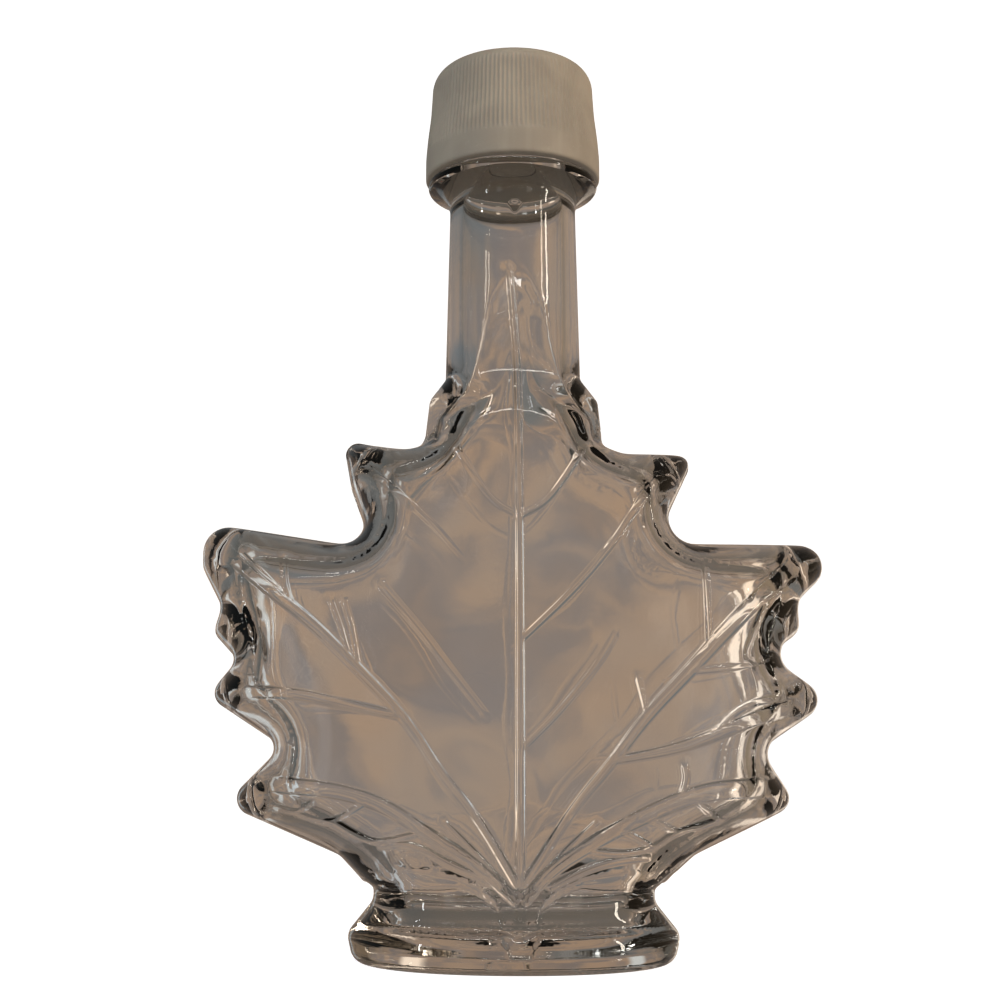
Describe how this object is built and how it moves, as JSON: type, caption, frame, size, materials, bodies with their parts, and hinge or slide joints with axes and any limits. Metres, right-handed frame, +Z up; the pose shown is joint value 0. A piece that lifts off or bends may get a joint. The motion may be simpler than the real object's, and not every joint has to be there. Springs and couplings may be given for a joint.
{
  "type": "maple leaf bottle",
  "caption": "Clear glass bottle moulded in the form of a veined maple leaf, on an oval foot, with a long round neck and a ribbed plastic screw cap.",
  "frame": {"origin": "middle of the foot's underside, on the surface the bottle stands on", "axes": "+Z up along the neck; -Y out of the front of the leaf; X across the leaf"},
  "size_m": [0.1082, 0.04, 0.1581],
  "materials": {
    "glass": "clear glass, faint smoky tint",
    "cap_plastic": "satin plastic with fine upright ribs"
  },
  "bodies": {
    "root": {"glass_bottle": "glass", "screw_cap": "cap_plastic"}
  },
  "joints": []
}
